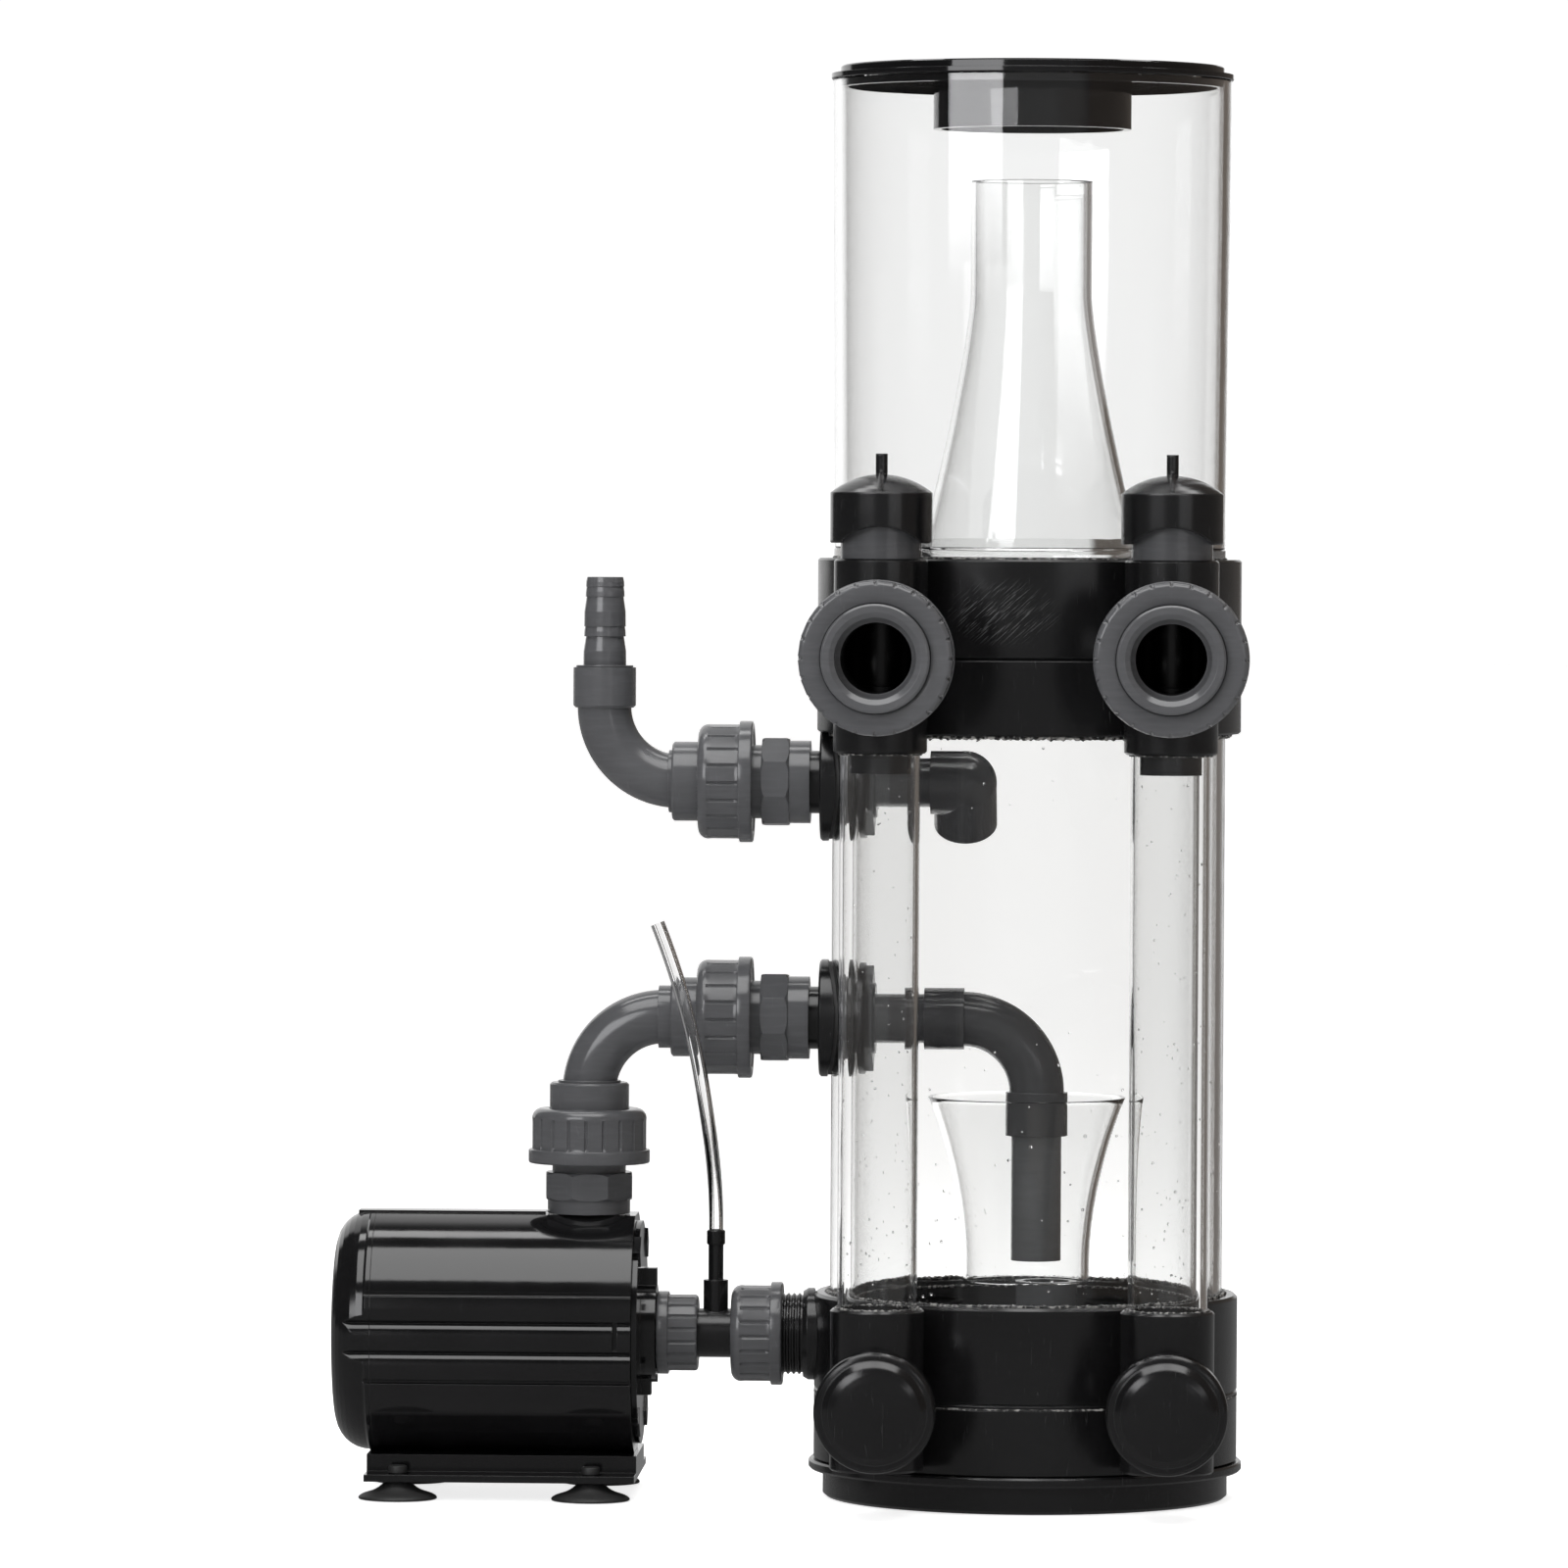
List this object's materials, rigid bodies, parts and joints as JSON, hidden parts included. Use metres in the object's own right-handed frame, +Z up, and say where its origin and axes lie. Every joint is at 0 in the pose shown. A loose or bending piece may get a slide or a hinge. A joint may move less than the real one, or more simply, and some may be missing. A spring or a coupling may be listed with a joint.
{
  "type": "protein skimmer",
  "caption": "Free-standing protein skimmer with a clear reaction tube, foam cup, front overflow towers, union pipework and a side venturi pump.",
  "frame": {"origin": "on the reaction tube's axis at floor level, under the base plate", "axes": "+Z up, -Y to the front with the two overflow towers, -X towards the pump"},
  "size_m": [0.4631, 0.3185, 0.729],
  "materials": {
    "black_pvc": "satin black PVC",
    "grey_pvc": "satin dark grey PVC-U",
    "clear_acrylic": "polished clear acrylic",
    "clear_hose": "soft clear vinyl",
    "rubber": "matt",
    "pump_plastic": "gloss black",
    "white_plastic": "moulded",
    "ceramic": "ground ceramic",
    "magnet": "plastic coated ferrite",
    "potting": "cast resin"
  },
  "bodies": {
    "skimmer": {"base_plate": "black_pvc", "base_ring": "black_pvc", "suction_port": "black_pvc", "suction_elbow": "grey_pvc", "reaction_tube": "clear_acrylic", "bubble_funnel": "clear_acrylic", "reaction_collar": "black_pvc", "lower_tees": "black_pvc", "blind_caps": "black_pvc", "rising_tubes": "clear_acrylic", "tube_nipples": "black_pvc", "upper_tees": "black_pvc", "vent_nipples": "grey_pvc", "outlet_union_bodies": "grey_pvc", "outlet_ends": "grey_pvc", "bulkheads": "black_pvc", "bulkhead_locknuts": "black_pvc", "rubber_seals": "rubber", "inlet_union_body": "grey_pvc", "inner_inlet_pipe": "grey_pvc", "inner_inlet_elbow": "grey_pvc", "return_union_body": "grey_pvc", "return_union_end": "grey_pvc", "return_bend": "grey_pvc", "inner_return_pipe": "grey_pvc", "inner_return_bend": "grey_pvc", "drop_pipe": "grey_pvc", "pump_union_body": "grey_pvc", "pump_union_end": "grey_pvc", "motor_housing": "pump_plastic", "rear_cap": "pump_plastic", "volute_cover": "pump_plastic", "foot_plate": "pump_plastic", "suction_feet": "rubber", "pump_shaft": "ceramic", "shaft_bushes": "rubber", "stator_block": "potting", "venturi_body": "black_pvc", "air_hose": "clear_hose"},
    "foam_cup": {"cup_sleeve": "black_pvc", "cup_seal": "rubber", "cup_floor": "clear_acrylic", "cup_tube": "clear_acrylic", "foam_riser": "clear_acrylic"},
    "cup_lid": {"lid": "black_pvc", "lid_skirt": "black_pvc"},
    "inlet_swivel": {"inlet_union_end": "grey_pvc", "inlet_bend": "grey_pvc", "hose_barb": "grey_pvc"},
    "rotor": {"impeller": "white_plastic", "rotor_magnet": "magnet"},
    "vent_left": {"vent_cap_left": "black_pvc"},
    "vent_right": {"vent_cap_right": "black_pvc"},
    "nut_outlet_left": {"outlet_nut_left": "grey_pvc"},
    "nut_outlet_right": {"outlet_nut_right": "grey_pvc"},
    "nut_inlet": {"inlet_nut": "grey_pvc"},
    "nut_return": {"return_nut": "grey_pvc"},
    "nut_pump": {"pump_nut": "grey_pvc"},
    "nut_intake_pump": {"intake_nut_pump": "grey_pvc"},
    "nut_intake_base": {"intake_nut_base": "grey_pvc"}
  },
  "joints": [
    {"name": "cup_lift", "type": "slide", "parent": "skimmer", "child": "foam_cup", "axis": [0, 0, 1], "range_m": [0, 0.12]},
    {"name": "lid_lift", "type": "slide", "parent": "foam_cup", "child": "cup_lid", "axis": [0, 0, 1], "range_m": [0, 0.08]},
    {"name": "vent_left_lift", "type": "slide", "parent": "skimmer", "child": "vent_left", "axis": [0, 0, 1], "range_m": [0, 0.04]},
    {"name": "vent_right_lift", "type": "slide", "parent": "skimmer", "child": "vent_right", "axis": [0, 0, 1], "range_m": [0, 0.04]},
    {"name": "outlet_left_unscrew", "type": "hinge", "parent": "skimmer", "child": "nut_outlet_left", "pos_m": [-0.0725, -0.17, 0.43], "axis": [0, -1, 0], "range_deg": [0, 720]},
    {"name": "outlet_right_unscrew", "type": "hinge", "parent": "skimmer", "child": "nut_outlet_right", "pos_m": [0.0725, -0.17, 0.43], "axis": [0, -1, 0], "range_deg": [0, 720]},
    {"name": "inlet_unscrew", "type": "hinge", "parent": "skimmer", "child": "nut_inlet", "pos_m": [-0.1405, 0, 0.364], "axis": [-1, 0, 0], "range_deg": [0, 720]},
    {"name": "return_unscrew", "type": "hinge", "parent": "skimmer", "child": "nut_return", "pos_m": [-0.1405, 0, 0.2435], "axis": [-1, 0, 0], "range_deg": [0, 720]},
    {"name": "pump_unscrew", "type": "hinge", "parent": "skimmer", "child": "nut_pump", "pos_m": [-0.2237, 0, 0.1685], "axis": [0, 0, 1], "range_deg": [0, 720]},
    {"name": "intake_pump_unscrew", "type": "hinge", "parent": "skimmer", "child": "nut_intake_pump", "pos_m": [-0.1883, 0, 0.08175], "axis": [1, 0, 0], "range_deg": [0, 720]},
    {"name": "intake_base_unscrew", "type": "hinge", "parent": "skimmer", "child": "nut_intake_base", "pos_m": [-0.124, 0, 0.08175], "axis": [-1, 0, 0], "range_deg": [0, 720]},
    {"name": "inlet_turn", "type": "hinge", "parent": "skimmer", "child": "inlet_swivel", "pos_m": [-0.1405, 0, 0.364], "axis": [-1, 0, 0], "range_deg": [-180, 180]},
    {"name": "rotor_spin", "type": "hinge", "parent": "skimmer", "child": "rotor", "pos_m": [-0.25, 0, 0.082], "axis": [1, 0, 0], "continuous": true}
  ]
}
